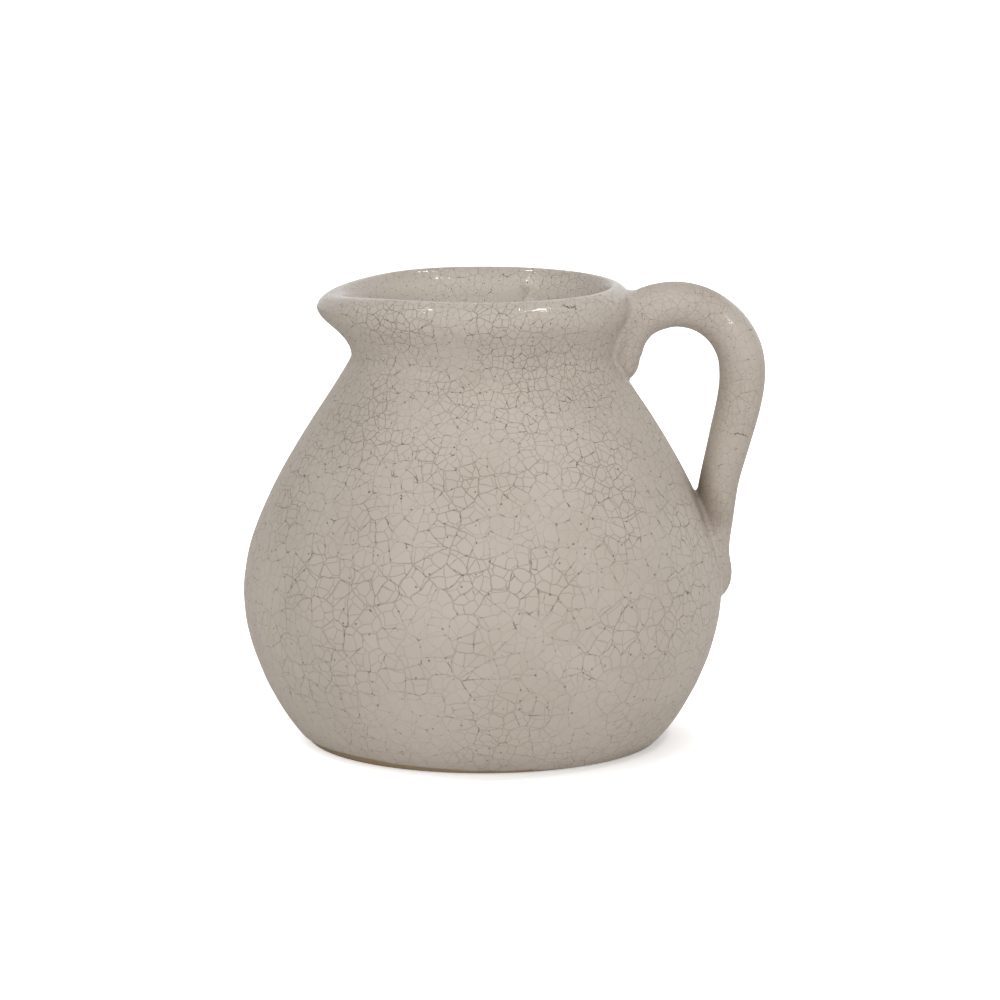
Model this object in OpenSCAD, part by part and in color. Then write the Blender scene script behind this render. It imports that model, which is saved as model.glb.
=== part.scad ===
// Ceramic jug: a thrown pear-shaped pot with a pulled spout and a luted-on handle.
// The origin is on the pot's axis at the table. The handle points along +X, the spout along -X.

/* [Body] */
// Height of the rim above the table
jug_h = 152.4; // [140:0.2:175]
// Width of the belly, glaze included
belly_d = 160; // [140:1:185]
// Height of the widest part of the belly
belly_z = 50; // [42:1:60]
// Width of the foot where the wall starts
foot_d = 118; // [100:1:130]
// Thickness of the clay wall
wall_t = 4.8; // [3.5:0.1:6.5]
// Thickness of the floor above the recess
floor_t = 6; // [4:0.2:9]

/* [Foot] */
// Width of the ring that the jug stands on
foot_ring_w = 9; // [5:0.5:14]
// Depth of the hollow under the foot
foot_recess = 1.4; // [0.8:0.1:2.5]
// Height above the table at which the glaze stops
bare_foot_h = 2; // [1:0.1:4]
// Thickness of the glaze, seen as a step where it stops
glaze_t = 0.4; // [0.2:0.05:0.7]

/* [Neck and rim] */
// Width of the neck at its waist
neck_d = 87.6; // [76:0.4:100]
// Height of the collar, from the waist up to the crest of the rim
collar_h = 23.4; // [19:0.2:30]
// Widest part of the rolled rim
rim_d = 99; // [90:0.5:112]
// Height of the rolled rim, from its widest line to its crest
rim_roll_h = 7.1; // [4.5:0.1:9]
// Thickness of the rolled rim
rim_t = 8.8; // [7:0.1:10]

/* [Spout] */
// How far the spout is pulled out past the rim
spout_out = 6.2; // [3:0.1:11]
// How far the rim dips at the tip of the spout
spout_dip = 3; // [1:0.1:6]
// Angle over which the pull spreads to each side
spout_spread = 24; // [16:1:34]

/* [Handle] */
// How far the handle stands out past the belly
handle_out = 13.9; // [9:0.1:22]
// Thickness of the handle at its bow
handle_t = 15.3; // [11:0.1:17]
// Width of the handle at its bow
handle_w = 16.8; // [12:0.1:22]
// Width of the bead of slip wiped round each end of the handle
bead_w = 1.6; // [0.8:0.1:2.5]

/* [Hidden] */

// Colours of the finish
glaze_colour = "#b9ab9d";
slip_colour = "#a8998a";

// Sizes that follow from the driving ones
belly_r = belly_d / 2;
foot_r = foot_d / 2;
neck_r = neck_d / 2;
rim_r = rim_d / 2;
rim_z = jug_h - rim_roll_h;
neck_z = jug_h - collar_h;

// Curves are cut into this many straight steps
curve_steps = 22;
rim_steps = 6;
$fn = 144;

// Points of a cubic curve from a to d with the handles b and c
function bow(a, b, c, d, n) =
    [for (i = [0:n]) let (t = i / n, s = 1 - t) s^3*a + 3*s^2*t*b + 3*s*t^2*c + t^3*d];

// Points of a quarter ellipse about c, from the angle u to the angle v
function arc(c, rx, ry, u, v, n) =
    [for (i = [0:n]) let (t = u + (v - u) * i / n) c + [rx * cos(t), ry * sin(t)]];

function without_last(p) = [for (i = [0:len(p) - 2]) p[i]];
function without_first(p) = [for (i = [1:len(p) - 1]) p[i]];
function reversed(p) = [for (i = [len(p) - 1:-1:0]) p[i]];

// The outside of the thrown pot: foot to belly, then belly to the waist of the neck
heel_angle = 42;
heel_pull_share = 0.2;
belly_low_share = 0.4;
belly_high_share = 0.39;
waist_low_share = 0.07;
neck_rise = neck_z - belly_z;
heel_pull = heel_pull_share * foot_r;
foot_to_belly = bow([foot_r, 0],
    [foot_r + heel_pull * cos(heel_angle), heel_pull * sin(heel_angle)],
    [belly_r, belly_z * (1 - belly_low_share)],
    [belly_r, belly_z], curve_steps);
belly_to_neck = bow([belly_r, belly_z],
    [belly_r, belly_z + belly_high_share * neck_rise],
    [neck_r, neck_z - waist_low_share * neck_rise],
    [neck_r, neck_z], curve_steps);

// The foot is bare clay, set back by the glaze's thickness under a small rounded step
glaze_lip_share = 0.3;
bare_r = lookup(bare_foot_h, [for (p = foot_to_belly) [p.y, p.x]]);
bare_foot = [for (p = foot_to_belly) if (p.y < bare_foot_h) p - [glaze_t, 0]];
glaze_edge = [
    [bare_r - glaze_t, bare_foot_h],
    [bare_r - glaze_lip_share * glaze_t, bare_foot_h],
    [bare_r, bare_foot_h + glaze_lip_share * glaze_t]];
glazed_side = [for (p = foot_to_belly) if (p.y > bare_foot_h + glaze_t) p];
pot_outside = concat(bare_foot, glaze_edge, without_last(glazed_side), belly_to_neck);

// The inside of the thrown pot, from the floor's middle up to the waist
floor_z = foot_recess + floor_t;
floor_flat_share = 0.74;
floor_pull_share = 0.95;
inner_belly_r = belly_r - wall_t;
inner_neck_r = neck_r - wall_t;
floor_r = floor_flat_share * foot_r;
floor_to_belly = bow([floor_r, floor_z],
    [floor_pull_share * inner_belly_r, floor_z],
    [inner_belly_r, belly_z - belly_low_share * (belly_z - floor_z)],
    [inner_belly_r, belly_z], curve_steps);
inner_belly_to_neck = bow([inner_belly_r, belly_z],
    [inner_belly_r, belly_z + belly_high_share * neck_rise],
    [inner_neck_r, neck_z - waist_low_share * neck_rise],
    [inner_neck_r, neck_z], curve_steps);
pot_inside = concat([[0, floor_z]], without_last(floor_to_belly), inner_belly_to_neck);

// The collar above the waist: flare, rolled rim and throat. Each point ends with its
// share of the spout's pull, which grows from the waist to the rim.
flare_low_share = 0.5;
flare_high_share = 0.27;
crest_share = 0.66;
crest_r = rim_r - crest_share * rim_t;
throat_r = rim_r - rim_t;
throat_drop_share = 1.5;
throat_z = jug_h - throat_drop_share * rim_roll_h;
flare = bow([neck_r, neck_z],
    [neck_r, neck_z + flare_low_share * (rim_z - neck_z)],
    [rim_r, rim_z - flare_high_share * (rim_z - neck_z)],
    [rim_r, rim_z], 2 * rim_steps);
roll = arc([crest_r, rim_z], rim_r - crest_r, jug_h - rim_z, 0, 90, rim_steps);
throat = arc([crest_r, throat_z], crest_r - throat_r, jug_h - throat_z, 90, 180, rim_steps);
inner_neck = bow([throat_r, throat_z],
    [throat_r, neck_z + flare_low_share * (throat_z - neck_z)],
    [inner_neck_r, neck_z + flare_high_share * (throat_z - neck_z)],
    [inner_neck_r, neck_z], rim_steps);
spout_growth_share = 1.6;
tip_share = 0.4;
tip_z = rim_z + tip_share * rim_roll_h;
throat_pull_share = 0.2;
function pull_at(z, top) = min(1, max(0, (z - neck_z) / (top - neck_z)))^spout_growth_share;
function throat_pull(r) = 1 - (1 - throat_pull_share) * (crest_r - r) / (crest_r - throat_r);
collar = concat(
    [for (p = flare) [p.x, p.y, pull_at(p.y, tip_z)]],
    [for (p = without_first(roll)) [p.x, p.y, pull_at(p.y, tip_z)]],
    [for (p = without_first(throat)) [p.x, p.y, throat_pull(p.x)]],
    [for (p = without_first(inner_neck)) [p.x, p.y, throat_pull_share * pull_at(p.y, throat_z)]]);
crest_index = len(flare) + len(roll) - 2;

// How strongly the spout is pulled at an angle round the axis: 1 at -X, fading to each side
function pull(turn) = let (side = turn - 180) exp(-(side / spout_spread)^2 / 2);

// One ring of the collar, round the axis
around = 72;
function ring(p) = [for (i = [0:around - 1])
    let (turn = 360 * i / around, k = p.z * pull(turn), r = p.x + spout_out * k)
    [r * cos(turn), r * sin(turn), p.y - spout_dip * k]];

// Closed skin over a list of rings of equal length, the last joined to the first
module torus_skin(rings) {
    n = len(rings[0]);
    m = len(rings);
    points = [for (each_ring = rings) each each_ring];
    faces = [for (j = [0:m - 1], i = [0:n - 1])
        let (a = j * n + i, b = j * n + (i + 1) % n, c = ((j + 1) % m) * n)
        each [[a, c + i, b], [b, c + i, c + (i + 1) % n]]];
    polyhedron(points, faces);
}

// Closed skin over a list of rings, with a flat cap on each end
module tube_skin(rings) {
    n = len(rings[0]);
    m = len(rings);
    points = [for (each_ring = rings) each each_ring];
    sides = [for (j = [0:m - 2], i = [0:n - 1])
        let (a = j * n + i, b = j * n + (i + 1) % n)
        each [[a, a + n, b], [b, a + n, b + n]]];
    start_cap = [for (i = [0:n - 1]) i];
    end_cap = [for (i = [n - 1:-1:0]) (m - 1) * n + i];
    polyhedron(points, concat(sides, [start_cap, end_cap]));
}

// The collar's root is a tongue let into the top of the pot's wall. Its sides slope in to a
// narrower edge, and its shoulders stand just inside the wall's faces.
tongue_h = 2;
tongue_inset = 1.2;
seam_inset = 0.06;
function tongue(r, side) = [
    [r + side * tongue_inset, neck_z - tongue_h, 0],
    [r + side * seam_inset, neck_z, 0]];
outer_tongue = tongue(neck_r, -1);
inner_tongue = tongue(inner_neck_r, 1);

module pot_wall() {
    ring_in = foot_r - foot_ring_w;
    hollow_under = [[0, foot_recess], [ring_in - foot_recess, foot_recess], [ring_in, 0]];
    rotate_extrude() polygon(concat(hollow_under, pot_outside, reversed(pot_inside)));
}

module collar_wall() {
    stations = concat(
        outer_tongue,
        [for (i = [1:len(collar) - 2]) collar[i]],
        reversed(inner_tongue));
    torus_skin([for (p = stations) ring(p)]);
}

module body() {
    color(glaze_colour) {
        pot_wall();
        collar_wall();
    }
}

// The pot as a full form with no hollow, its side moved out by grow, to cut what is pressed on it
module pot_form(grow) {
    side = [for (p = pot_outside) p + [grow, 0]];
    rotate_extrude() polygon(concat([[0, 0]], side, [[0, neck_z]]));
}

module collar_form(grow) {
    side = [for (i = [1:crest_index]) collar[i] + [grow, 0, 0]];
    stations = concat(tongue(neck_r + grow, -1), side, [[throat_r / 2, neck_z, 0]]);
    tube_skin([for (p = stations) ring(p)]);
}

// Smooth curve through the stations of a path, in steps between each two
path_steps = 3;
function between(p, i, t) =
    let (n = len(p) - 1, a = p[max(i - 1, 0)], b = p[i], c = p[min(i + 1, n)], d = p[min(i + 2, n)])
    (2*b + (c - a)*t + (2*a - 5*b + 4*c - d)*t^2 + (3*b - a - 3*c + d)*t^3) / 2;
function smooth(p) = concat(
    [for (i = [0:len(p) - 2], j = [0:path_steps - 1]) between(p, i, j / path_steps)], [p[len(p) - 1]]);

// Radius of the pot's wall at a height, taken as the waist's above the waist
function wall_r(z) = lookup(min(z, neck_z), [for (p = belly_to_neck) [p.y, p.x]]);

// Stations along the handle, from the pad on the neck to the tip of the tail. Each row has
// the share of the way from the pot's wall out to the bow, the share of the height from
// the belly line up to the rim, and the shares of the handle's thickness and width.
handle_shares = [
    [0.03, 0.738, 0.74, 0.84], [0.06, 0.776, 0.86, 0.97], [0.093, 0.838, 0.95, 1.05],
    [0.18, 0.894, 1.03, 1.04], [0.32, 0.925, 1.03, 1.01], [0.5, 0.935, 0.99, 1],
    [0.7, 0.914, 0.97, 1], [0.865, 0.863, 0.98, 1], [0.972, 0.788, 1, 1],
    [1, 0.703, 1, 1], [0.97, 0.61, 0.98, 0.99], [0.84, 0.488, 0.93, 0.98],
    [0.58, 0.356, 0.88, 0.98], [0.2, 0.226, 0.86, 1.02], [-0.14, 0.125, 0.72, 1.04],
    [-0.2, 0.04, 0.66, 0.98]];
bow_x = belly_r + handle_out - handle_t / 2;
handle_path = [for (s = handle_shares)
    let (z = belly_z + s[1] * (jug_h - belly_z), wall = wall_r(z))
    [wall + s[0] * (bow_x - wall), z, s[2] * handle_t / 2, s[3] * handle_w / 2]];
handle_line = smooth(handle_path);

// One ring of the handle: an oval across the path, at a share of its full size
handle_sides = 20;
function unit(v) = v / norm(v);
function heading(p, i) =
    let (v = p[min(i + 1, len(p) - 1)] - p[max(i - 1, 0)]) unit([v.x, v.y]);
function oval(p, along, grow, share, ahead) =
    [for (i = [0:handle_sides - 1])
        let (u = 360 * i / handle_sides, r = (p[2] + grow) * share * cos(u))
        [p.x - along.y * r + along.x * ahead,
            -(p[3] + grow) * share * sin(u),
            p.y + along.x * r + along.y * ahead]];

// The handle as a rolled bar with rounded ends, its skin moved out by grow
end_steps = 3;
blunt_share = 0.4;
round_end = [for (k = [1:end_steps]) 90 * k / (end_steps + blunt_share)];
module handle_bar(grow) {
    far = len(handle_line) - 1;
    head = heading(handle_line, 0);
    tail = heading(handle_line, far);
    head_r = handle_line[0][2] + grow;
    tail_r = handle_line[far][2] + grow;
    tube_skin(concat(
        [for (u = reversed(round_end)) oval(handle_line[0], head, grow, cos(u), -sin(u) * head_r)],
        [for (i = [0:far]) oval(handle_line[i], heading(handle_line, i), grow, 1, 0)],
        [for (u = round_end) oval(handle_line[far], tail, grow, cos(u), sin(u) * tail_r)]));
}

// Above this height a bead belongs to the upper joint, and below it to the lower one
joint_split_share = 0.6;
joint_split_z = belly_z + joint_split_share * neck_rise;

module handle() {
    color(glaze_colour) difference() {
        handle_bar(0);
        pot_form(0);
        collar_form(0);
    }
}

// The bead of slip wiped into the corner between the handle and the pot
module upper_joint() {
    color(slip_colour) difference() {
        intersection() {
            handle_bar(bead_w);
            union() {
                pot_form(bead_w);
                collar_form(bead_w);
            }
            translate([0, -belly_r, joint_split_z]) cube([belly_d, belly_d, jug_h - joint_split_z]);
        }
        handle_bar(0);
        pot_form(0);
        collar_form(0);
    }
}

module lower_joint() {
    color(slip_colour) difference() {
        intersection() {
            handle_bar(bead_w);
            pot_form(bead_w);
            translate([0, -belly_r, 0]) cube([belly_d, belly_d, joint_split_z]);
        }
        handle_bar(0);
        pot_form(0);
    }
}

body();
handle();
upper_joint();
lower_joint();
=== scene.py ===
import math
import bpy
import numpy as np
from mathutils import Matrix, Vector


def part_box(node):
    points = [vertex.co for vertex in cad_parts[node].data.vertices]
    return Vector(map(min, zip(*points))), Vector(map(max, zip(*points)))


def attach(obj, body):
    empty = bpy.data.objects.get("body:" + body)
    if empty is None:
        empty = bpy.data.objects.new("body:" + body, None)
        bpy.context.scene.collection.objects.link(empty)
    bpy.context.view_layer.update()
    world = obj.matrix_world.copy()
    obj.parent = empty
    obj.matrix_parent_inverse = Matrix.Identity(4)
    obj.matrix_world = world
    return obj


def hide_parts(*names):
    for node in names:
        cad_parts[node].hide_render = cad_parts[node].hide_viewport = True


# A crackle-glazed stoneware jug. Lengths are in millimetres until a mesh is made,
# and the pot's axis is Z with the handle along +X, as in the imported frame.

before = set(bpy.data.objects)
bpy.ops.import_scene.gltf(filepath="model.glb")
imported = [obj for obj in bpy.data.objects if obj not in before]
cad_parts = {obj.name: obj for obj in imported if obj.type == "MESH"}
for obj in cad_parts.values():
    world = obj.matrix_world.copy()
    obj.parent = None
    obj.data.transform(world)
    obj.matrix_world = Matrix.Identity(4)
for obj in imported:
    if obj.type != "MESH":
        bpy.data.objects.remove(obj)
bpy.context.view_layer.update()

mm = 0.001
bodyBox = [[value / mm for value in corner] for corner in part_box("body")]


# Camera

camera = {
    "pitch": 10.38,  # degrees below the horizon
    "distance": 1669,
    "lookX": 5.83,
    "lookZ": 79.7,
    "lens": 180,
}


def makeCamera(values):
    pitch = math.radians(values["pitch"])
    data = bpy.data.cameras.new("studioCamera")
    data.lens = values["lens"]
    data.sensor_width = 36
    data.clip_start = 0.05
    data.clip_end = 20
    seat = bpy.data.objects.new("studioCamera", data)
    seat.location = (
        values["lookX"] * mm,
        -values["distance"] * mm * math.cos(pitch),
        (values["lookZ"] + values["distance"] * math.sin(pitch)) * mm,
    )
    seat.rotation_euler = (math.pi / 2 - pitch, 0, 0)
    bpy.context.scene.collection.objects.link(seat)
    bpy.context.scene.camera = seat


makeCamera(camera)
print("camera placed")


# Curves

def bezier(a, b, c, d, steps):
    # cubic curve from a to d, pulled towards b and c:
    # (1-t)^3 a + 3(1-t)^2 t b + 3(1-t) t^2 c + t^3 d
    t = np.linspace(0, 1, steps + 1)[:, None]
    a, b, c, d = (np.array(p, float) for p in (a, b, c, d))
    return (1 - t) ** 3 * a + 3 * (1 - t) ** 2 * t * b + 3 * (1 - t) * t ** 2 * c + t ** 3 * d


def denser(points, below, times):
    # the stretches of a line that lie under a height, cut into more steps
    cut = int(np.searchsorted(points[:, 1], below)) + 1
    fine = np.linspace(0, cut - 1, (cut - 1) * times + 1)
    low = np.column_stack([np.interp(fine, np.arange(cut), points[:cut, k]) for k in (0, 1)])
    return np.vstack([low, points[cut:]])


def quarter(centre, width, height, first, last, steps):
    # points of an ellipse about a centre, between two angles in degrees
    turn = np.radians(np.linspace(first, last, steps + 1))[:, None]
    return np.array(centre) + np.hstack([width * np.cos(turn), height * np.sin(turn)])


def smoothPath(stations, steps):
    # Catmull-Rom curve through the stations, with steps between each two
    p = np.vstack([2 * stations[0] - stations[1], stations, 2 * stations[-1] - stations[-2]])
    a, b, c, d = p[:-3, None], p[1:-2, None], p[2:-1, None], p[3:, None]
    t = np.linspace(0, 1, steps, endpoint=False)[None, :, None]
    bend, twist = 2 * a - 5 * b + 4 * c - d, 3 * b - a - 3 * c + d
    curve = (2 * b + (c - a) * t + bend * t ** 2 + twist * t ** 3) / 2
    return np.vstack([curve.reshape(-1, stations.shape[1]), stations[-1:]])


def softStep(value, low, high):
    # 0 below low, 1 above high, and 3u^2 - 2u^3 between them
    u = np.clip((value - low) / (high - low), 0, 1)
    return u * u * (3 - 2 * u)


def unevenness(points, size, seed, waves=14):
    # a sum of sine waves in random directions, about size millimetres long, scaled to
    # about -1 to 1
    draw = np.random.default_rng(seed)
    directions = draw.normal(size=(waves, 3))
    directions /= np.linalg.norm(directions, axis=1)[:, None]
    rates = 2 * np.pi / (size * draw.uniform(0.7, 1.5, waves))
    phases = draw.uniform(0, 2 * np.pi, waves)
    return np.sin(points @ directions.T * rates + phases).sum(-1) / math.sqrt(waves)


def skinPiece(name, grid, acrossAt, alongAt, loop=False):
    # A closed skin over a grid of rows by columns of points. Each row is a ring joined round to
    # itself. In a loop the last ring joins the first; otherwise both are drawn in to their middle
    # points. The UV map, in metres of glaze, is acrossAt for each column's edge and alongAt for
    # each row's edge.
    rows, columns = grid.shape[:2]
    spans = rows if loop else rows - 1
    row = np.arange(spans)[:, None]
    column = np.arange(columns)[None, :]
    ahead = (column + 1) % columns
    above = (row + 1) % rows * columns
    here = row * columns
    quads = np.stack([here + column, here + ahead, above + ahead, above + column], -1)
    left, right = acrossAt[:-1][column] + 0 * row, acrossAt[1:][column] + 0 * row
    low, high = alongAt[:spans][row] + 0 * column, alongAt[1:spans + 1][row] + 0 * column
    place = [np.stack([left, low, right, low, right, high, left, high], -1).reshape(-1)]
    points = [grid.reshape(-1, 3)]
    faces = quads.reshape(-1, 4).tolist()
    if not loop:
        points += [grid[0].mean(0)[None], grid[-1].mean(0)[None]]
        around, onward = column[0], ahead[0]
        pole, last = 0 * around + rows * columns, (rows - 1) * columns
        faces += np.stack([pole, onward, around], -1).tolist()
        faces += np.stack([pole + 1, last + around, last + onward], -1).tolist()
        middle = (acrossAt[:-1] + acrossAt[1:]) / 2
        start, end = 0 * middle + alongAt[0], 0 * middle + alongAt[rows - 1]
        place += [np.stack(corners, -1).reshape(-1) for corners in (
            [middle, start, acrossAt[1:], start, acrossAt[:-1], start],
            [middle, end, acrossAt[:-1], end, acrossAt[1:], end])]
    mesh = bpy.data.meshes.new(name)
    mesh.from_pydata((np.vstack(points) * mm).tolist(), [], faces)
    mesh.polygons.foreach_set("use_smooth", np.ones(len(mesh.polygons), bool))
    mesh.uv_layers.new(name="glazeMap").data.foreach_set("uv", np.concatenate(place) * mm)
    mesh.update()
    piece = bpy.data.objects.new(name, mesh)
    bpy.context.scene.collection.objects.link(piece)
    return piece


# The pot

pot = {
    "height": bodyBox[1][2],
    "bellyRadius": bodyBox[1][1],
    "bellySpare": 0.05,  # how far the plain side goes past that radius, and how far the waves may
    "bellyLimit": 0.03,
    "bellyHeight": 50,
    "footRadius": 59,
    "wall": 4.8,
    "floor": 6,
    "footRing": 9,
    "recess": 1.4,
    "neckRadius": 43.8,
    "neckHeight": 129,
    "rimRadius": 49.5,
    "rimRoll": 7.1,
    "rimThickness": 8.8,
    "heelTurn": 42,  # degrees above the table at which the foot's curve sets out
    # how far the side's curves run straight on before they turn, as shares of their rise or,
    # at the heel, of the foot's radius
    "heelPull": 0.2,
    "bellyPull": 0.4,
    "shoulderPull": 0.39,
    "neckPull": 0.07,
    "flarePull": 0.5,
    "rimPull": 0.27,
    "crestShare": 0.66,  # where the rim is highest, as a share of its thickness from outside
    "throatShare": 1.5,  # how deep the throat lies, beside the roll
    "floorShare": 0.74,  # the flat floor's radius beside the foot's
    "spoutOut": 6.2,
    "spoutDip": 3,
    "spoutSpread": 24,
    "spoutTip": 0.4,  # share of the roll up which the pull still grows
    "throatPull": 0.2,  # share of the pull that reaches the throat
    "spoutGrowth": 1.6,  # power by which the pull grows with height
    "around": 540,
    "runTurn": 68,  # a run of glaze down the inside of the neck, at the back
    "runWidth": 2.1,
    "runDepth": 1.1,
    "runEnds": (120, 126, 147, 151),  # heights over which it begins and ends
    "runSwellings": ((147, 1.8), (139.5, 2)),  # height and size of each
    "glazeThickness": 0.3,
    "glazeEdge": 0.12,  # half the height over which it thins out
    # where the glaze stops: its height, how far that swings and the way in which it is highest
    "glazeLine": (-0.4, 2.9, 216),
    "glazeWaver": ((0.22, 5, 1), (0.12, 13, 0), (0.07, 29, 2)),  # size, times round and start
    "glossFrom": (147, 149),  # heights over which the rim's gloss begins
    "waves": ((0.14, 38, 5), (0.04, 11, 6)),  # of the hand-made wall: size, length and seed
    "wavesDrawnIn": 0.1,
    "wavesFrom": (3, 16),
}


def potOutline(values):
    # radius, height and share of the spout's pull, from the middle of the underside out to the
    # foot, up the outside, over the rim and down the inside to the middle of the floor
    foot, belly = values["footRadius"], values["bellyRadius"] + values["bellySpare"]
    bellyZ, neck, neckZ = values["bellyHeight"], values["neckRadius"], values["neckHeight"]
    rim, rimZ, top = values["rimRadius"], values["height"] - values["rimRoll"], values["height"]
    wall, rise = values["wall"], values["neckHeight"] - values["bellyHeight"]
    floorZ = values["recess"] + values["floor"]
    ringIn = foot - values["footRing"]
    heel, heelPull = math.radians(values["heelTurn"]), values["heelPull"] * foot
    crest = rim - values["crestShare"] * values["rimThickness"]
    throat, throatZ = rim - values["rimThickness"], top - values["throatShare"] * values["rimRoll"]
    shoulder, waist = values["shoulderPull"] * rise, values["neckPull"] * rise
    flare, lip = values["flarePull"], values["rimPull"]
    floorRadius = values["floorShare"] * foot
    under = np.array([[ringIn * k, values["recess"]] for k in (0.02, 0.3, 0.6, 0.85)]
                     + [[ringIn - values["recess"], values["recess"]], [ringIn, 0.15]]
                     + [[ringIn + 0.4, 0], [ringIn + 3, 0], [foot - 2, 0], [foot - 0.6, 0]])
    side = [
        denser(bezier([foot - 0.3, 0.05],
                      [foot + heelPull * math.cos(heel), heelPull * math.sin(heel)],
                      [belly, bellyZ * (1 - values["bellyPull"])], [belly, bellyZ], 44), 4.5, 4),
        bezier([belly, bellyZ], [belly, bellyZ + shoulder],
               [neck, neckZ - waist], [neck, neckZ], 46),
        bezier([neck, neckZ], [neck, neckZ + flare * (rimZ - neckZ)],
               [rim, rimZ - lip * (rimZ - neckZ)], [rim, rimZ], 18),
        quarter([crest, rimZ], rim - crest, top - rimZ, 0, 90, 12),
        quarter([crest, throatZ], crest - throat, top - throatZ, 90, 180, 14),
        bezier([throat, throatZ], [throat, neckZ + flare * (throatZ - neckZ)],
               [neck - wall, neckZ + lip * (throatZ - neckZ)], [neck - wall, neckZ], 8),
        bezier([neck - wall, neckZ], [neck - wall, neckZ - waist],
               [belly - wall, bellyZ + shoulder], [belly - wall, bellyZ], 20),
        bezier([belly - wall, bellyZ],
               [belly - wall, bellyZ - values["bellyPull"] * (bellyZ - floorZ)],
               [0.95 * (belly - wall), floorZ], [floorRadius, floorZ], 14),
        np.array([[floorRadius * k, floorZ] for k in (1, 0.6, 0.25, 0.02)]),
    ]
    outline = np.vstack([under] + [part[:-1] for part in side[:-1]] + side[-1:])
    outsideCount = len(under) + sum(len(part) - 1 for part in side[:4])
    insideStart = outsideCount + len(side[4]) - 1
    # the pull grows from the waist to the tip outside, and fades from the crest to the throat
    index = np.arange(len(outline))
    radius, height = outline.T
    tipZ = rimZ + values["spoutTip"] * values["rimRoll"]
    growth, throatPull = values["spoutGrowth"], values["throatPull"]
    grow = np.clip((height - neckZ) / (tipZ - neckZ), 0, 1) ** growth
    fade = 1 - (1 - throatPull) * np.clip((crest - radius) / (crest - throat), 0, 1)
    below = throatPull * np.clip((height - neckZ) / (throatZ - neckZ), 0, 1) ** growth
    pull = np.where(index < outsideCount, grow, np.where(index < insideStart, fade, below))
    return np.column_stack([outline, pull]), outsideCount


def spoutPull(turn):
    # 1 straight along -X, fading to each side as a bell curve
    side = np.degrees(np.abs(turn - math.pi))
    return np.exp(-(side / pot["spoutSpread"]) ** 2 / 2)


def glazeLine(turn):
    # the bare band is broad to the front left and runs out to the front right, by a cosine
    # round the foot with a little waver
    height, swing, highest = pot["glazeLine"]
    waver = sum(size * np.sin(times * turn + start) for size, times, start in pot["glazeWaver"])
    return height + swing * np.cos(turn - math.radians(highest)) + waver


def bareShare(values):
    # 1 on bare clay: under the foot, and outside up to the glaze line
    outline, outsideCount = potOutline(values)
    line = glazeLine(turnsRound(values))
    outside = np.arange(len(outline))[:, None] < outsideCount
    edge = values["glazeEdge"]
    return np.where(outside, 1 - softStep(outline[:, 1:2], line - edge, line + edge), 0)


def glazeRun(values, turn, height):
    # bell-shaped across, level along its length but for a swelling near the top and one below it
    across = np.radians(values["runTurn"]) - turn
    across = np.exp(-(across * values["neckRadius"] / values["runWidth"]) ** 2)
    start, full, thinner, end = values["runEnds"]
    length = softStep(height, start, full) * (1 - softStep(height, thinner, end))
    swelling = sum(np.exp(-((height - middle) / size) ** 2)
                   for middle, size in values["runSwellings"])
    return values["runDepth"] * across * length * (0.6 + 0.6 * swelling)


def wornShare(values):
    # 1 where handling took the gloss off: the outside, but for the top of the rim
    outline, outsideCount = potOutline(values)
    outside = np.arange(len(outline))[:, None] < outsideCount
    worn = np.where(outside, 1 - softStep(outline[:, 1:2], *values["glossFrom"]), 0)
    return worn + 0 * turnsRound(values)


def insideShare(values):
    # 0 outside and over the crest of the rim, 1 from the throat inwards
    outline, outsideCount = potOutline(values)
    index = np.arange(len(outline))[:, None]
    return softStep(index, outsideCount + 2, outsideCount + 12) + 0 * turnsRound(values)


def turnsRound(values):
    return np.linspace(0, 2 * math.pi, values["around"], endpoint=False)[None, :]


def handMade(points):
    # slow waves along the radius, none at the foot or near the axis, never past the belly's limit
    radius = np.hypot(points[..., 0], points[..., 1])
    waves = sum(size * unevenness(points, length, seed) for size, length, seed in pot["waves"])
    waves = waves - pot["wavesDrawnIn"]
    moved = radius + softStep(points[..., 2], *pot["wavesFrom"]) * waves
    limit = pot["bellyRadius"] + pot["bellyLimit"]
    swell = np.where(radius > 20, np.minimum(moved, limit) / np.maximum(radius, 1), 1)
    return points * np.stack([swell, swell, np.ones_like(swell)], -1)


def potGrid(values):
    # the outline turned about Z, pulled out and down at the spout, and drawn in where it is
    # bare by the glaze's thickness
    outline, outsideCount = potOutline(values)
    turn = turnsRound(values)
    share = outline[:, 2:3] * spoutPull(turn)
    radius = outline[:, 0:1] + values["spoutOut"] * share
    height = outline[:, 1:2] - values["spoutDip"] * share
    bare = values["glazeThickness"] * bareShare(values)
    radius = radius - np.where(outline[:, 0:1] > values["footRadius"] - 1, bare, 0)
    inside = np.arange(len(outline))[:, None] > outsideCount + 2
    radius = radius - np.where(inside, glazeRun(values, turn, height), 0)
    grid = np.stack([radius * np.cos(turn), radius * np.sin(turn), height + 0 * turn], -1)
    return handMade(grid)


def potMap(values):
    # angle and summed step over radius, both times the belly's radius, so that the map keeps
    # the shapes of small patches, but for the last 6 mm about the axis, and is true to size
    # at the belly
    outline = potOutline(values)[0]
    step = np.hypot(*np.diff(outline[:, :2], axis=0).T)
    radius = np.maximum((outline[1:, 0] + outline[:-1, 0]) / 2, 6)
    along = np.concatenate([[0], np.cumsum(step / radius)]) * values["bellyRadius"]
    across = np.linspace(0, 2 * math.pi, values["around"] + 1) * values["bellyRadius"]
    return across, along


potSkin = skinPiece("bodyGlaze", potGrid(pot), *potMap(pot))
print("pot", len(potSkin.data.polygons), "faces")


# The handle

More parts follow.
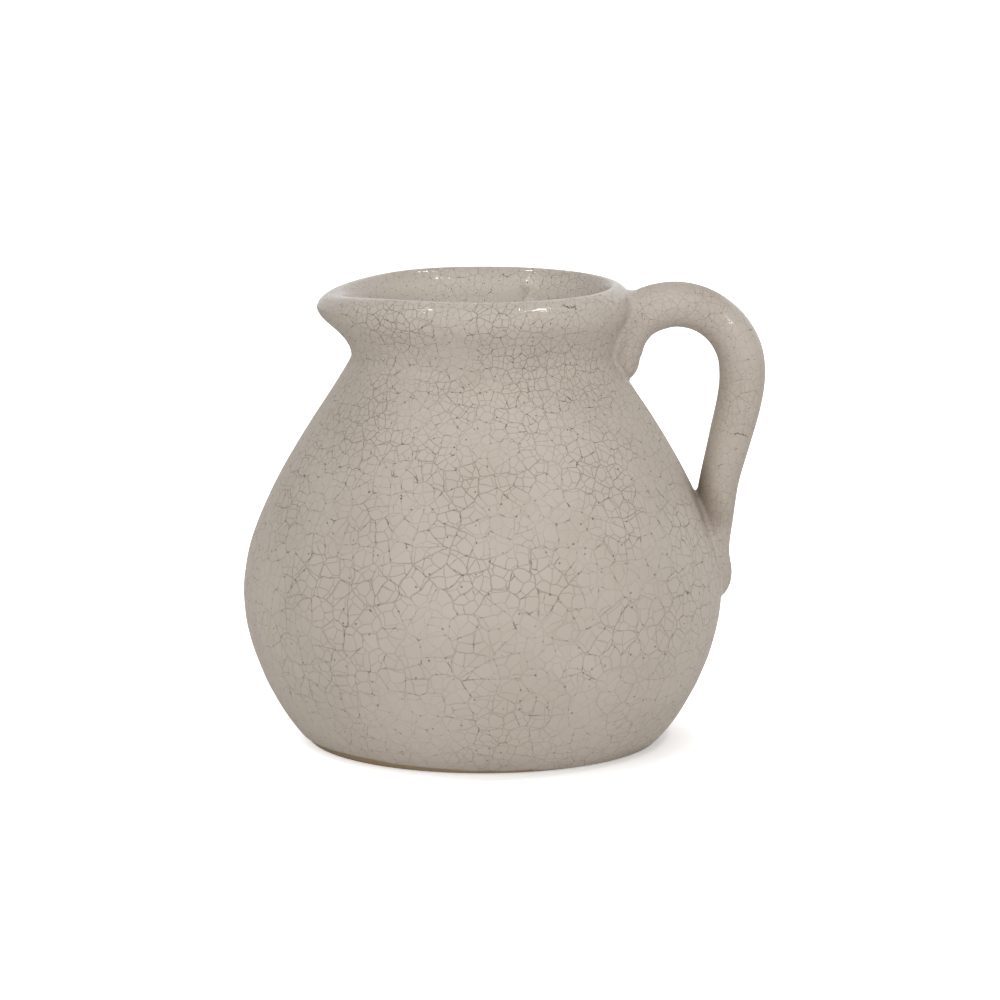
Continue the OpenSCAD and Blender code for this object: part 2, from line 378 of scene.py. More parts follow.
handle = {
    "out": 13.9,  # past the belly
    "thickness": 15.3,
    "width": 16.8,
    "sides": 96,
    "steps": 9,
    "oval": 0.92,
    "girthShare": 0.992,  # the pulled bar's girth beside the plain one's
    "pulled": (0.018, 26, 8),  # how unevenly: share of its girth, length of the waves and seed
    "finer": 1.9,  # the crackle is finer here than on the belly
    "mapStart": 900,  # clear of the pot's own stretch of the crackle
    "mapGirth": 0.96,  # mean girth, with the tail's, beside the bar's own
    # share of the way from the wall to the bow, share of the height from belly to rim,
    # shares of thickness and width
    "stations": [
        [-0.12, 0.698, 0.42, 0.45], [0.015, 0.733, 0.70, 0.80], [0.06, 0.776, 0.86, 0.97],
        [0.093, 0.838, 0.95, 1.05], [0.180, 0.894, 1.03, 1.04], [0.32, 0.925, 1.03, 1.01],
        [0.50, 0.935, 0.99, 1], [0.70, 0.914, 0.97, 1], [0.865, 0.863, 0.98, 1],
        [0.972, 0.788, 1, 1], [1, 0.703, 1, 1], [0.97, 0.610, 0.98, 0.99],
        [0.84, 0.488, 0.93, 0.98], [0.58, 0.356, 0.88, 0.98], [0.20, 0.226, 0.86, 1.02],
        [-0.14, 0.125, 0.72, 1.04], [-0.20, 0.050, 0.66, 1.0], [-0.38, 0.005, 0.55, 0.85],
        [-0.75, -0.03, 0.30, 0.5]],
}


def potSide():
    # the pot's outside, from the foot's edge over the rim's roll, as radius and height in close
    # steps
    outline, outsideCount = potOutline(pot)
    side = outline[9:outsideCount + 12, :2]
    fine = np.linspace(0, len(side) - 1, 4000)
    return np.column_stack([np.interp(fine, np.arange(len(side)), side[:, k]) for k in (0, 1)])


def wallRadius(height, top):
    # the outside's radius at a height, the same above the top as there
    side = potSide()
    climb = side[:np.argmax(side[:, 1] >= top - 0.01) + 1]
    return np.interp(np.minimum(height, top), climb[:, 1], climb[:, 0])


def handlePath(values):
    # x, z, half thickness and half width along the handle's middle line, and its heading
    shares = np.array(values["stations"])
    height = pot["bellyHeight"] + shares[:, 1] * (pot["height"] - pot["bellyHeight"])
    wall = wallRadius(height, pot["neckHeight"])
    bow = pot["bellyRadius"] + values["out"] - values["thickness"] / 2
    stations = np.column_stack([
        wall + shares[:, 0] * (bow - wall), height,
        shares[:, 2] * values["thickness"] / 2, shares[:, 3] * values["width"] / 2])
    path = smoothPath(stations, values["steps"])
    along = np.gradient(path[:, :2], axis=0)
    return path, along / np.linalg.norm(along, axis=1)[:, None]


def handPulled(points):
    # the bar swells and thins a little about its middle line
    size, length, seed = handle["pulled"]
    return handle["girthShare"] + size * unevenness(points, length, seed)


def handleGrid(values):
    # an oval a little squarer than an ellipse, its cos and sin raised to a power, along the path
    path, along = handlePath(values)
    turn = np.linspace(0, 2 * math.pi, values["sides"], endpoint=False)[None, :]
    across = np.sign(np.cos(turn)) * np.abs(np.cos(turn)) ** values["oval"] * path[:, 2:3]
    aside = -np.sign(np.sin(turn)) * np.abs(np.sin(turn)) ** values["oval"] * path[:, 3:4]
    outward = path[:, 0:1] - along[:, 1:2] * across
    upward = path[:, 1:2] + along[:, 0:1] * across
    grid = np.stack([outward, aside, upward], -1)
    middle = grid.mean(1, keepdims=True)
    return middle + (grid - middle) * handPulled(grid)[..., None]


def handleDistance(points):
    # how far points lie outside the handle's skin: from the nearest place on the path, the
    # oval's own measure, which is 1 on the skin, turned into a length
    path, along = handlePath(handle)
    offset = points[..., None, [0, 2]] - path[:, :2]
    near = np.argmin((offset ** 2).sum(-1), axis=-1)
    offset = np.take_along_axis(offset, near[..., None, None], -2)[..., 0, :]
    across = offset[..., 1] * along[near, 0] - offset[..., 0] * along[near, 1]
    ahead = (offset * along[near]).sum(-1)
    step = np.linalg.norm(np.gradient(path[:, :2], axis=0), axis=1)
    taper = np.gradient(path[:, 2:], axis=0) / step[:, None]
    half = path[near, 2:] + ahead[..., None] * taper[near]
    aside, power = points[..., 1], 2 / handle["oval"]
    size = np.abs(across / half[..., 0]) ** power + np.abs(aside / half[..., 1]) ** power
    size = size ** (1 / power) / handPulled(points)
    return np.hypot(across, aside) * (1 - 1 / np.maximum(size, 0.05))


def outOfHandle(points):
    # direction in which the distance from the handle grows fastest, by small steps along
    # X, Y and Z
    slope = np.stack([handleDistance(points + step) - handleDistance(points - step)
                      for step in 0.05 * np.eye(3)], -1)
    return slope / np.linalg.norm(slope, axis=-1)[..., None]


def handleMap(values, grid):
    # distance round the bar's mean girth, and distance along its middle
    middle = grid.mean(1)
    along = np.concatenate([[0], np.cumsum(np.linalg.norm(np.diff(middle, axis=0), axis=1))])
    girth = math.pi * (values["thickness"] + values["width"]) / 2 * values["mapGirth"]
    across = np.linspace(0, girth, values["sides"] + 1)
    finer, start = values["finer"], values["mapStart"]
    return finer * (start + across), finer * (start + along)


bar = handleGrid(handle)
handleSkin = skinPiece("handleGlaze", bar, *handleMap(handle, bar))
print("handle", len(handleSkin.data.polygons), "faces")


# Painted shade, a darker spout, and what use left on the glaze, from 0 to 1 at each point of a mesh

shadeAndWear = {
    "shadeGap": (1, 14),  # between pot and handle
    "shadeFrom": (66, 78),  # heights
    "shadeUpTo": (92, 116),
    "potGap": 1.3,  # the gap counts as so much wider on the pot and the joints
    "spoutDark": 0.45,
    "spoutDarkFrom": (128, 140),
    "handleShadeDepth": 0.17,
    "handleShadeFrom": (62, 76),  # distance out along X
    "glossFrom": (77, 82),
    "glossAbove": (124, 134),
}


def crotchShade(gap, points):
    # painted shade over the lower joint, where pot and handle come within millimetres of each other
    height = points[:, 2]
    level = softStep(height, *shadeAndWear["shadeFrom"]) * (1 - softStep(height, *shadeAndWear["shadeUpTo"]))
    return (1 - softStep(gap, *shadeAndWear["shadeGap"])) * level


def spoutDarkening(points):
    # the spout, rim and throat together, painted a little darker
    turn = np.mod(np.arctan2(points[:, 1], points[:, 0]), 2 * math.pi)
    return shadeAndWear["spoutDark"] * spoutPull(turn) * softStep(points[:, 2], *shadeAndWear["spoutDarkFrom"])


def handleShade(points):
    # painted shade: the handle a little darker away from the wall, out along X
    return shadeAndWear["handleShadeDepth"] * softStep(points[:, 0], *shadeAndWear["handleShadeFrom"])


def gripWear(points):
    # the handle lost its gloss to hands but for the outside of its upper bend
    out = softStep(points[:, 0], *shadeAndWear["glossFrom"])
    return 1 - out * softStep(points[:, 2], *shadeAndWear["glossAbove"])


def addValues(piece, name, values):
    piece.data.attributes.new(name, "FLOAT", "POINT").data.foreach_set("value", values)


barPoints, potPoints = bar.reshape(-1, 3), potGrid(pot).reshape(-1, 3)
barRadius = np.hypot(barPoints[:, 0], barPoints[:, 1])
barGap = barRadius - wallRadius(barPoints[:, 2], pot["neckHeight"])
# the pot's gap is worked out near the crotch only, to save time
nearCrotch = (np.abs(potPoints - (80, 0, 90)) < (30, 20, 30)).all(1)
potGap = np.full(len(potPoints), 99.0)
potGap[nearCrotch] = shadeAndWear["potGap"] * handleDistance(potPoints[nearCrotch])
# painted shade in the crotch and the darker spout on the pot; painted shade in the crotch and over
# the handle on the bar
potShadeAndDarkening = np.maximum(crotchShade(potGap, potPoints), spoutDarkening(potPoints))
barShadeAndDarkening = np.maximum(crotchShade(barGap, barPoints), handleShade(barPoints))
addValues(potSkin, "shadeAndDarkening", np.append(potShadeAndDarkening, [0, 0]))
addValues(handleSkin, "shadeAndDarkening", np.append(barShadeAndDarkening, [0, 0]))
addValues(potSkin, "bareClay", np.append(bareShare(pot).ravel(), [1, 0]))
addValues(potSkin, "inside", np.append(insideShare(pot).ravel(), [0, 1]))
addValues(potSkin, "worn", np.append(wornShare(pot).ravel(), [1, 0]))
addValues(handleSkin, "worn", np.append(gripWear(barPoints), [1, 1]))


# The joints, where slip wiped round the handle's ends rounds off the corner

joints = {
    "upperMiddle": 136.5,  # heights inside each end's footprint on the pot
    "lowerMiddle": 67,
    "upperReach": (3.4, 4.2, 2.0),  # rounding at the joint's sides, at its top and at its bottom
    "lowerReach": (2.4, 3.6, 1.3),
    "rays": (3, 26, 231),  # where they start and end, and their steps
    "sunk": 0.8,  # how deep the ring is closed inside the clay
    # painted shade on the joints, as a share of the handle's
    "handleShade": 0.7,  # beside the handle's
    "mapStart": 1200,
    "columns": 144,
    "slowWaves": 18,
    "steps": 12,
}


def evened(ring):
    # the slow waves of a closed ring of points, without its small steps
    waves = np.fft.rfft(ring, axis=0)
    waves[joints["slowWaves"]:] = 0
    return np.fft.irfft(waves, len(ring), axis=0)


def onPot(points):
    # nearest point of the pot's side, and the side's outward direction there
    side = potSide()
    flat = np.column_stack([np.hypot(points[:, 0], points[:, 1]), points[:, 2]])
    near = np.argmin(((flat[:, None] - side[None]) ** 2).sum(2), axis=1)
    slope = np.gradient(side, axis=0)[near]
    slope /= np.linalg.norm(slope, axis=1)[:, None]
    spin = points[:, :2] / flat[:, :1]
    place = np.column_stack([spin * side[near, :1], side[near, 1]])
    return place, np.column_stack([spin * slope[:, 1:], -slope[:, 0]])


def jointBand(name, middle, reach, values):
    # From a middle inside the handle's footprint, seen along X, rays go out over the pot's side
    # until they leave the handle at the corner. A parabola from the handle, a reach away from the
    # corner, to the pot, a reach away on that side, has the corner as its middle control point, so
    # it leaves both without a crease. The ring is closed inside the clay.
    turn = np.linspace(0, 2 * math.pi, values["columns"], endpoint=False)
    ray = np.linspace(*values["rays"])[:, None]
    y, z = ray * np.cos(turn), middle + ray * np.sin(turn)
    radius = wallRadius(z, pot["height"])
    over = np.stack([np.sqrt(np.maximum(radius ** 2 - y ** 2, 0)), y, z], -1)
    apart = handleDistance(over)
    leaves = np.maximum(np.argmax(apart > 0, axis=0), 1)[None, :]
    inner, outer = (np.take_along_axis(apart, leaves + k, 0)[0] for k in (-1, 0))
    start, end = (np.take_along_axis(over, leaves[..., None] + k, 0)[0] for k in (-1, 0))
    corner, potOut = onPot(start + (inner / (inner - outer))[:, None] * (end - start))
    barOut = outOfHandle(corner)

    # along each skin, square to the seam and away from it
    meet = (potOut * barOut).sum(1)[:, None]
    upBar = (potOut - meet * barOut) / np.sqrt(1 - meet ** 2)
    overPot = (barOut - meet * potOut) / np.sqrt(1 - meet ** 2)
    side, top, bottom = reach
    upper, lower = np.clip(np.sin(turn), 0, 1) ** 2, np.clip(-np.sin(turn), 0, 1) ** 2
    reach = (side + (top - side) * upper + (bottom - side) * lower)[:, None]
    onBar = corner + reach * upBar
    for settle in range(3):  # each time closer to the bar's skin
        onBar = onBar - handleDistance(onBar)[:, None] * outOfHandle(onBar)
    foot, footOut = onPot(corner + reach * overPot)
    onBar, foot, corner = evened(onBar), evened(handMade(foot)), evened(handMade(corner))
    u = np.linspace(0, 1, values["steps"] + 1)[:, None, None]
    curve = (1 - u) ** 2 * onBar + 2 * u * (1 - u) * corner + u ** 2 * foot
    sunk = values["sunk"]
    inBar, inPot = onBar - sunk * outOfHandle(onBar), foot - sunk * footOut
    inCorner = corner - sunk * (potOut + barOut)
    ring = np.concatenate([inBar[None], curve, inPot[None], inCorner[None]])
    girth = np.linalg.norm(np.roll(curve[-1], -1, axis=0) - curve[-1], axis=1)
    rise = np.linalg.norm(np.diff(ring, axis=0), axis=2).mean(1)
    across = values["mapStart"] + np.concatenate([[0], np.cumsum(girth)])
    along = values["mapStart"] + np.concatenate([[0], np.cumsum(rise)])
    along = np.append(along, along[-1] + 1)
    return skinPiece(name, ring, handle["finer"] * across, handle["finer"] * along, loop=True)


upperJoint = jointBand("upperJointSlip", joints["upperMiddle"], joints["upperReach"], joints)
lowerJoint = jointBand("lowerJointSlip", joints["lowerMiddle"], joints["lowerReach"], joints)
# painted shade in the crotch and over the handle's outer part, on the joints too
for piece in (upperJoint, lowerJoint):
    points = np.zeros(3 * len(piece.data.vertices))
    piece.data.vertices.foreach_get("co", points)
    points = points.reshape(-1, 3) / mm
    crotchShadeShare = crotchShade(shadeAndWear["potGap"] * np.abs(handleDistance(points)), points)
    addValues(piece, "shadeAndDarkening", np.maximum(crotchShadeShare, joints["handleShade"] * handleShade(points)))


# Materials

def linear(hexColour):
    # sRGB hex to linear light
    values = [int(hexColour[i:i + 2], 16) / 255 for i in (1, 3, 5)]
    return [v / 12.92 if v <= 0.04045 else ((v + 0.055) / 1.055) ** 2.4 for v in values] + [1]


def addNode(tree, kind, inputs=None, **settings):
    # adds a node, sets its properties, and sets or links its inputs, where a node stands for
    # its first output
    node = tree.nodes.new("ShaderNode" + kind)
    for name, value in settings.items():
        setattr(node, name, value)
    for name, value in (inputs or {}).items():
        value = value.outputs[0] if isinstance(value, bpy.types.Node) else value
        if isinstance(value, bpy.types.NodeSocket):
            tree.links.new(value, node.inputs[name])
        else:
            node.inputs[name].default_value = value
    return node


def emptyTree(data):
    data.use_nodes = True
    data.node_tree.nodes.clear()
    return data.node_tree


perMetre = 1 / mm  # a pattern of one millimetre has this scale

crackle = {
    "glaze": "#bbb1a6",
    "glazeWarm": "#b5ab9f",
    "glazePale": "#c4bbb1",
    # the inside's paler colour is painted light in the shaded hollow
    "insidePaintedLight": "#dad1c6",
    "crack": "#86776a",
    "stain": "#4a3a2d",
    # the colour of painted shade in the crotch and over the handle, and of the darker spout
    "shadeAndDarkening": "#5e4935",
    "shadeAndDarkeningDepth": 0.5,
    "cellTone": 0.16,  # how far single cells go towards the pale glaze
    "insideFade": 0.6,  # share of the faint hairlines that is lost inside
    "wander": 3.2,  # how far the hairlines stray, and over what length
    "wanderLength": 7,
    "largeCell": 7.2,
    "smallCell": 4.5,
    "cellRandom": 0.92,
    "crackWidth": 0.34,
    "crackBlur": 1.15,
    "later": 0.85,  # width and strength of the later hairlines beside the first ones
    "meetingWidth": 1.9,  # hairlines drawn this much wider show where they meet
    "holeCell": 5,
    # patches of a noise: size, detail, where in the noise they start and end, and what they
    # give at each end
    "patches": {
        "opening": (20, 3, 0.32, 0.62, 0.3, 1),
        "dirtyPlaces": (17, 1, 0.38, 0.56, 0.25, 1),
        "warmth": (30, 3, 0.35, 0.68, 0, 1),
        "satin": (1.5, 1, 0.66, 0.7, 0.5, 0.12),
    },
    # the same for patches that follow the hairlines
    "patchesOnNet": {
        "stained": (5.5, 2, 0.63, 0.71, 0, 1),
        "specks": (1.3, 1, 0.66, 0.76, 0, 0.7),
        "dirtyMeetings": (2.2, 1, 0.53, 0.6, 0, 1),
    },
    # dirt where hairlines meet, and pinholes in shares of their cell, in some of the cells:
    # start, end and the value at each
    "meeting": (0.55, 0.85, 0, 1),
    "hole": (0.05, 0.09, 1, 0),
    "holedCells": (0.74, 0.9, 0, 1),
    # how strong the faint lines, dirty lines, stains and ripples are: two heights and the value
    # at each, as glaze wiped thin at the rim and handle shows more dirt and ripples less
    "upThePot": {
        "faintDepth": (10, 140, 0.42, 0.82),
        "dirtDepth": (15, 55, 0.4, 1),
        "stainDepth": (60, 130, 0.6, 0.95),
        "rippleDepth": (116, 132, 2.2, 0.6),
    },
    "upTheHandle": {
        "faintDepth": (10, 140, 0.42, 0.42),
        "dirtDepth": (15, 55, 0.4, 1),
        "stainDepth": (60, 130, 0.6, 0.6),
        "rippleDepth": (116, 132, 0.6, 0.6),
    },
    # single cracks that opened: place, direction across, reach
    "openCracks": [((86, -8, 103), (0.3, 0, 0.95), 3.4), ((29, -40, 150), (0.3, 0, 0.95), 3.6),
                   ((-10, -79, 39.5), (0.9, 0, 0.4), 2.4)],
    "openWidth": (0.1, 0.26),
    "openWaver": (2.2, 3, 0.7, 3),  # size, detail and roughness of its noise, and its swing
    "peel": (0.8, 2, 0.6),  # size, detail and roughness of the orange peel
    "ripple": (3.2, 1, 0.5),
    "peelDepth": 0.35,
    "lineDip": 0.3,
    "spotDip": 1.2,
    "relief": 0.06,
    "coat": 0.75,
    "coatWorn": 0.14,
    "coatRoughness": 0.08,
}

footClay = {
    "clay": "#ae9a7e",
    "clayDark": "#927d63",
    "blotches": (3, 4, 0.7),  # size, detail and roughness
    "grit": (0.9, 3, 0.7),
    "gritDepth": 0.15,
}


def crackleNet(tree, start, cell, widths, values):
    # the colours of a net's cells, and the net drawn at each width: 1 on a cell's edge, falling
    # to 0 at that distance from it
    colours, edge = (
        addNode(tree, "TexVoronoi", {
            "Vector": start, "Scale": perMetre / cell, "Randomness": values["cellRandom"],
        }, voronoi_dimensions="2D", feature=feature)
        for feature in ("F1", "DISTANCE_TO_EDGE"))
    lines = [
        addNode(tree, "MapRange", {
            "Value": edge, "From Min": 0, "From Max": values["crackBlur"] * width / cell,
            "To Min": 1, "To Max": 0,
        }, interpolation_type="SMOOTHSTEP")
        for width in widths]
    return [colours.outputs["Color"]] + lines


def openCracks(tree, place, dark, values):
    # each is a wavering plane through a place, as far as its reach
    size, detail, rough, swing = values["openWaver"]
    waver = addNode(tree, "TexNoise", {
        "Vector": place, "Scale": perMetre / size, "Detail": detail, "Roughness": rough})
    waver = addNode(tree, "Math", {
        0: waver, 1: swing * mm, 2: -swing / 2 * mm}, operation="MULTIPLY_ADD")
    for where, across, reach in values["openCracks"]:
        where = [length * mm for length in where]
        apart = addNode(tree, "VectorMath", {0: place, 1: where}, operation="DISTANCE")
        offset = addNode(tree, "VectorMath", {0: place, 1: where}, operation="SUBTRACT")
        offset = addNode(tree, "VectorMath", {0: offset, 1: across}, operation="DOT_PRODUCT")
        offset = addNode(tree, "Math", {0: offset.outputs["Value"], 1: waver}, operation="ADD")
        offset = addNode(tree, "Math", {0: offset}, operation="ABSOLUTE")
        limits = ((offset, *values["openWidth"]), (apart.outputs["Value"], 0.75 * reach, reach))
        line, near = (
            addNode(tree, "MapRange", {
                "Value": value, "From Min": low * mm, "From Max": high * mm,
                "To Min": 1, "To Max": 0,
            }, interpolation_type="SMOOTHSTEP")
            for value, low, high in limits)
        crack = addNode(tree, "Math", {0: line, 1: near}, operation="MULTIPLY")
        dark = addNode(tree, "Math", {0: dark, 1: crack}, operation="MAXIMUM")
    return dark


def makeGlaze(name, values, heights, foot=None):
    # Glazed stoneware: a glassy coat over brown clay. It shrank more than the clay as it
    # cooled and split into a net of hairlines, with dirt rubbed into some of them.
    material = bpy.data.materials.new(name)
    tree = emptyTree(material)
    place = addNode(tree, "TexCoord").outputs["Object"]
    height = addNode(tree, "SeparateXYZ", {0: place}).outputs["Z"]
    # one attribute holds painted shade in the crotch and over the handle, and the darker spout
    inside, shadeAndDarkening, worn = (
        addNode(tree, "Attribute", attribute_name=layer).outputs["Fac"]
        for layer in ("inside", "shadeAndDarkening", "worn"))

    # the hairlines wander: the map is shifted by a slow noise
    skin = addNode(tree, "UVMap", uv_map="glazeMap")
    drift = addNode(tree, "TexNoise", {
        "Vector": place, "Scale": perMetre / values["wanderLength"], "Detail": 2, "Roughness": 0.5})
    drift = addNode(tree, "VectorMath", {
        0: drift.outputs["Color"], 1: (0.5, 0.5, 0.5)}, operation="SUBTRACT")
    drift = addNode(tree, "VectorMath", {
        0: drift, "Scale": values["wander"] * mm}, operation="SCALE")
    flow = addNode(tree, "VectorMath", {0: skin, 1: drift}, operation="ADD")

    # large cells first, then smaller ones that start afresh in each, so that the later
    # hairlines end square on the earlier ones
    width, later = values["crackWidth"], values["later"]
    wide = values["meetingWidth"] * width
    largeColour, firstLines, firstWide = crackleNet(
        tree, flow, values["largeCell"], (width, wide), values)
    restart = addNode(tree, "VectorMath", {0: flow, 1: largeColour}, operation="ADD")
    smallColour, laterLines, laterWide = crackleNet(
        tree, restart, values["smallCell"], (later * width, wide), values)
    laterLines = addNode(tree, "Math", {0: laterLines, 1: later}, operation="MULTIPLY")
    lines = addNode(tree, "Math", {0: firstLines, 1: laterLines}, operation="MAXIMUM")
    meeting = addNode(tree, "Math", {0: firstWide, 1: laterWide}, operation="MULTIPLY")
    holes = addNode(tree, "TexVoronoi", {
        "Vector": flow, "Scale": perMetre / values["holeCell"], "Randomness": 1,
    }, voronoi_dimensions="2D", feature="F1")
    holeCell = addNode(tree, "SeparateColor", {"Color": holes.outputs["Color"]})

    # what the glaze's parts depend on: a source, and how it runs from one value to another
    sources = {
        "meeting": (meeting, values["meeting"]),
        "hole": (holes, values["hole"]),
        "holedCells": (holeCell, values["holedCells"]),
    }
    for part, (low, high, *ends) in heights.items():
        sources[part] = (height, (low * mm, high * mm, *ends))
    for vector, patches in ((place, values["patches"]), (flow, values["patchesOnNet"])):
        for patch, (size, detail, *ends) in patches.items():
            noise = addNode(tree, "TexNoise", {
                "Vector": vector, "Scale": perMetre / size, "Detail": detail, "Roughness": 0.5})
            sources[patch] = (noise, ends)
    share = {
        part: addNode(tree, "MapRange", {
            "Value": source, "From Min": low, "From Max": high, "To Min": atLow, "To Max": atHigh,
        }, interpolation_type="SMOOTHSTEP")
        for part, (source, (low, high, atLow, atHigh)) in sources.items()}

    # faint lines, dirty lines, dirt where a later hairline ends on an earlier one, and pinholes
    outside = addNode(tree, "Math", {
        0: inside, 1: -values["insideFade"], 2: 1}, operation="MULTIPLY_ADD")
    dirty = addNode(tree, "Math", {0: share["stained"], 1: share["specks"]}, operation="MAXIMUM")
    cellTone = addNode(tree, "SeparateColor", {"Color": smallColour})
    marks = {
        "faint": (lines, share["opening"], share["faintDepth"], outside),
        "dark": (lines, dirty, share["dirtyPlaces"], share["dirtDepth"]),
        "dots": (share["meeting"], share["dirtyMeetings"]),
        "holes": (share["hole"], share["holedCells"]),
        "pale": (cellTone, values["cellTone"]),
        "shadeAndDarkening": (shadeAndDarkening, values["shadeAndDarkeningDepth"]),
    }
    for mark, (product, *factors) in marks.items():
        for factor in factors:
            product = addNode(tree, "Math", {0: product, 1: factor}, operation="MULTIPLY")
        marks[mark] = product
    dark = openCracks(tree, place, marks["dark"], values)
    spots = addNode(tree, "Math", {0: marks["dots"], 1: marks["holes"]}, operation="MAXIMUM")
    stain = addNode(tree, "Math", {0: dark, 1: spots}, operation="MAXIMUM")
    stain = addNode(tree, "Math", {0: stain, 1: share["stainDepth"]}, operation="MULTIPLY")

    # inside, the glaze ran thicker and is hardly crackled; its paler colour is painted light in the
    # shaded hollow
    tone = linear(values["glaze"])
    # the last layer is painted shade in the crotch and over the handle, and the darker spout
    layers = ((share["warmth"], "glazeWarm"), (marks["pale"], "glazePale"), (inside, "insidePaintedLight"),
              (marks["faint"], "crack"), (stain, "stain"), (marks["shadeAndDarkening"], "shadeAndDarkening"))
    for amount, colour in layers:
        tone = addNode(tree, "Mix", {
            0: amount, 6: tone, 7: linear(values[colour])}, data_type="RGBA").outputs[2]

    # orange peel and, but for the wiped rim and handle, ripples, on a skin that dips at each
    # hairline and spot
    peel, ripple = (
        addNode(tree, "TexNoise", {
            "Vector": place, "Scale": perMetre / size, "Detail": detail, "Roughness": rough})
        for size, detail, rough in (values["peel"], values["ripple"]))
    peel = addNode(tree, "Math", {0: peel, 1: values["peelDepth"]}, operation="MULTIPLY")
    relief = addNode(tree, "Math", {
        0: ripple, 1: share["rippleDepth"], 2: peel}, operation="MULTIPLY_ADD")
    lineDip = addNode(tree, "Math", {0: lines, 1: values["lineDip"]}, operation="MULTIPLY")
    spotDip = addNode(tree, "Math", {0: spots, 1: values["spotDip"]}, operation="MULTIPLY")
    dip = addNode(tree, "Math", {0: lineDip, 1: spotDip}, operation="MAXIMUM")
    relief = addNode(tree, "Math", {0: relief, 1: dip}, operation="SUBTRACT")
    bump = addNode(tree, "Bump", {
        "Strength": 1, "Distance": values["relief"] * mm, "Height": relief})

    # worn to a satin, but for glassy spots, where hands and cloths rubbed it
    coat = addNode(tree, "Mix", {0: worn, 2: values["coat"], 3: values["coatWorn"]})
    coatRoughness = addNode(tree, "Mix", {0: worn, 2: values["coatRoughness"], 3: share["satin"]})
    surface = addNode(tree, "BsdfPrincipled", {
        "Base Color": tone, "Roughness": 0.55, "IOR": 1.5, "Specular IOR Level": 0.1,
        "Coat Weight": coat, "Coat Roughness": coatRoughness, "Coat IOR": 1.5,
        "Normal": bump, "Coat Normal": bump})
    if foot:
        surface = bareFoot(tree, place, surface, foot)
    addNode(tree, "OutputMaterial", {"Surface": surface})
    return material


def bareFoot(tree, place, glazed, values):
    # Unglazed stoneware, dry and gritty, below the wavering glaze line and all over the underside
    bare = addNode(tree, "Attribute", attribute_name="bareClay").outputs["Fac"]
    blotches, grit = (
        addNode(tree, "TexNoise", {
            "Vector": place, "Scale": perMetre / size, "Detail": detail, "Roughness": rough})
        for size, detail, rough in (values["blotches"], values["grit"]))
    earth = addNode(tree, "Mix", {
        0: blotches, 6: linear(values["clay"]), 7: linear(values["clayDark"])}, data_type="RGBA")
    bump = addNode(tree, "Bump", {
        "Strength": 0.6, "Distance": values["gritDepth"] * mm, "Height": grit})
    clay = addNode(tree, "BsdfPrincipled", {
        "Base Color": earth.outputs[2], "Roughness": 0.85, "IOR": 1.45, "Normal": bump})
    return addNode(tree, "MixShader", {0: bare, 1: glazed, 2: clay})


potSkin.data.materials.append(
    makeGlaze("crackleGlazeOverClay", crackle, crackle["upThePot"], footClay))
handleSkin.data.materials.append(makeGlaze("crackleGlaze", crackle, crackle["upTheHandle"]))
for piece in (upperJoint, lowerJoint):
    piece.data.materials.append(handleSkin.data.materials[0])
for piece in (potSkin, handleSkin, upperJoint, lowerJoint):
    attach(piece, "root")
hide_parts("body")
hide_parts("handle")
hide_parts("upper_joint")
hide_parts("lower_joint")
print("glaze and clay laid on")


# The studio

studio = {
    "floorSize": 6000,
    "paper": "#fbfbfb",
    "lift": 0.94,  # how much whiter the paper looks to the camera than it lights the jug
    "mirroredLift": 0.05,
    "paintedShadow": 25,  # how near the jug keeps that whiteness off the paper, most to its right
    "paintedShadowLean": (-1.3, 0.9, 0),
    "room": 0.3,
    "softLight": 1.66,
    "softLightWay": (-0.08, -0.995, 0.05),
    "softLightEdge": 0.35,  # cosine of the angle at which the soft light ends
    "aim": (0, 0, 80),
    # place, width and height, power
    "lamps": {
        "overheadRight": ((690, -242, 1276), (220, 85), 2.9),
        "overheadLeft": ((-631, -294, 1297), (145, 85), 1.885),
        "frontRight": ((885, -990, 725), (125, 125), 1.7),
        "frontLeft": ((-800, -1080, 725), (110, 110), 0.765),
    },
}


def makeLamp(name, place, size, power, target):
    data = bpy.data.lights.new(name, "AREA")
    data.shape = "RECTANGLE"
    data.size, data.size_y = size[0] * mm, size[1] * mm
    data.energy = power
    lamp = bpy.data.objects.new(name, data)
    lamp.location = [value * mm for value in place]
    aim = np.array(target) - np.array(place, float)
    aim /= np.linalg.norm(aim)
    lamp.rotation_euler = (math.acos(-aim[2]), 0, math.atan2(-aim[0], aim[1]))
    bpy.context.scene.collection.objects.link(lamp)


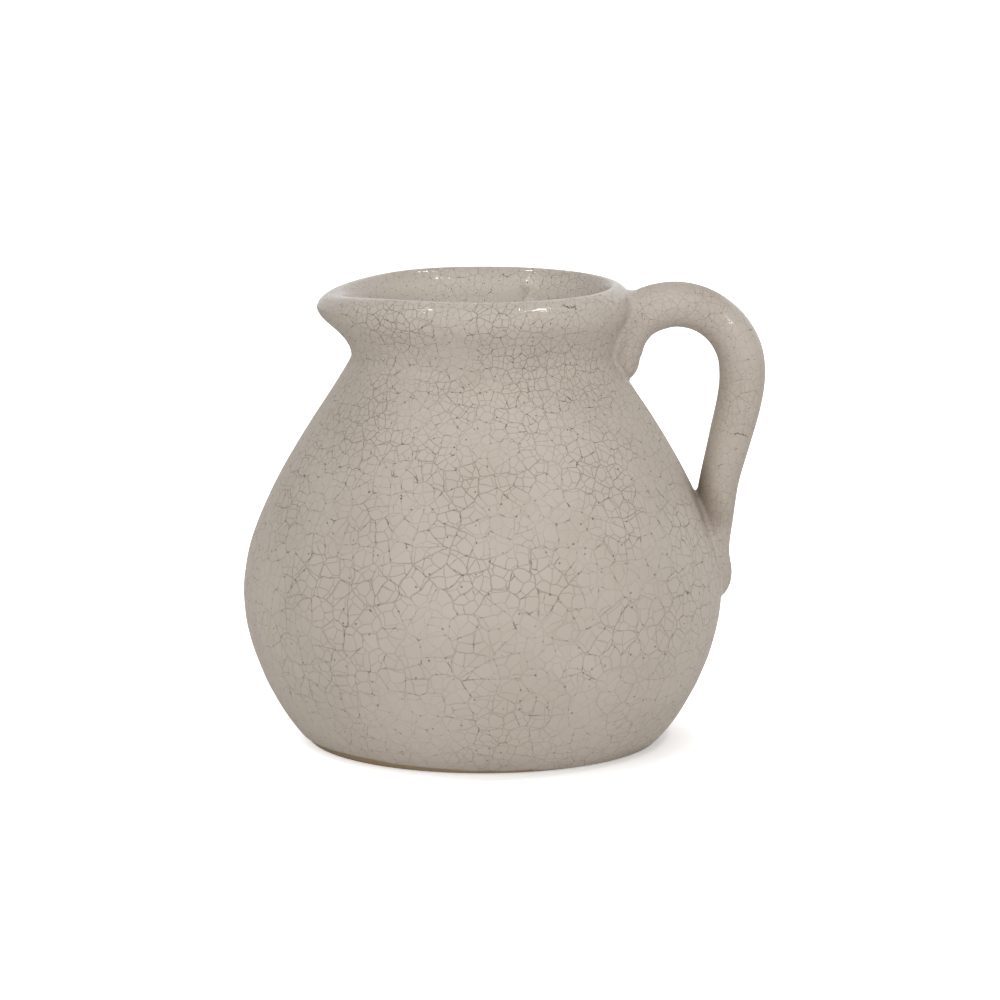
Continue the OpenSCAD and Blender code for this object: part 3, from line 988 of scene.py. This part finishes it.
def makeFloor(values):
    # a sheet of white paper, that glows a little to the camera but not beside the jug, where the
    # faded glow is a painted shadow, most to the jug's right
    half = values["floorSize"] * mm / 2
    corners = [(-half, -half, 0), (half, -half, 0), (half, half, 0), (-half, half, 0)]
    mesh = bpy.data.meshes.new("floor")
    mesh.from_pydata(corners, [], [(0, 1, 2, 3)])
    floor = bpy.data.objects.new("floor", mesh)
    bpy.context.scene.collection.objects.link(floor)
    material = bpy.data.materials.new("paperSweep")
    tree = emptyTree(material)
    path = addNode(tree, "LightPath")
    mirrored = addNode(tree, "Math", {
        0: path.outputs["Is Glossy Ray"], 1: path.outputs["Is Transmission Ray"],
    }, operation="MAXIMUM")
    upward = addNode(tree, "NewGeometry").outputs["Normal"]
    lean = addNode(tree, "VectorMath", {0: upward, 1: values["paintedShadowLean"]}, operation="ADD")
    lean = addNode(tree, "VectorMath", {0: lean}, operation="NORMALIZE")
    # the glow fades by ambient occlusion near the jug, leaning so that it fades most to the jug's
    # right and front: a painted shadow
    paintedShadow = addNode(tree, "AmbientOcclusion", {
        "Distance": values["paintedShadow"] * mm, "Normal": lean}, samples=4)
    straight = addNode(tree, "Math", {
        0: path.outputs["Is Camera Ray"], 1: values["lift"]}, operation="MULTIPLY")
    lift = addNode(tree, "Math", {
        0: mirrored, 1: values["mirroredLift"], 2: straight}, operation="MULTIPLY_ADD")
    lift = addNode(tree, "Math", {0: lift, 1: paintedShadow.outputs["AO"]}, operation="MULTIPLY")
    diffuse = addNode(tree, "BsdfDiffuse", {"Color": linear(values["paper"])})
    glow = addNode(tree, "Emission", {"Strength": lift})
    both = addNode(tree, "AddShader", {0: diffuse, 1: glow})
    addNode(tree, "OutputMaterial", {"Surface": both})
    mesh.materials.append(material)


def makeWorld(values):
    # white to the camera; as light, dim but for wide soft lights in front of the jug and behind it
    world = bpy.data.worlds.new("studio")
    tree = emptyTree(world)
    way = addNode(tree, "TexCoord").outputs["Generated"]
    facing = addNode(tree, "VectorMath", {
        0: way, 1: values["softLightWay"]}, operation="DOT_PRODUCT")
    facing = addNode(tree, "Math", {0: facing.outputs["Value"]}, operation="ABSOLUTE")
    strength = addNode(tree, "MapRange", {
        "Value": facing, "From Min": values["softLightEdge"], "From Max": 1,
        "To Min": values["room"], "To Max": values["softLight"],
    }, interpolation_type="SMOOTHSTEP")
    room, backdrop = (
        addNode(tree, "Background", {"Color": (1, 1, 1, 1), "Strength": amount})
        for amount in (strength, 1))
    path = addNode(tree, "LightPath")
    seen = path.outputs["Is Camera Ray"]
    for kind in ("Is Glossy Ray", "Is Transmission Ray"):
        seen = addNode(tree, "Math", {0: seen, 1: path.outputs[kind]}, operation="MAXIMUM")
    mix = addNode(tree, "MixShader", {0: seen, 1: room, 2: backdrop})
    addNode(tree, "OutputWorld", {"Surface": mix})
    bpy.context.scene.world = world


makeFloor(studio)
makeWorld(studio)
for lampName, (lampPlace, lampSize, power) in studio["lamps"].items():
    makeLamp(lampName, lampPlace, lampSize, power, studio["aim"])
bpy.context.scene.view_settings.view_transform = "Standard"
print("studio lit")
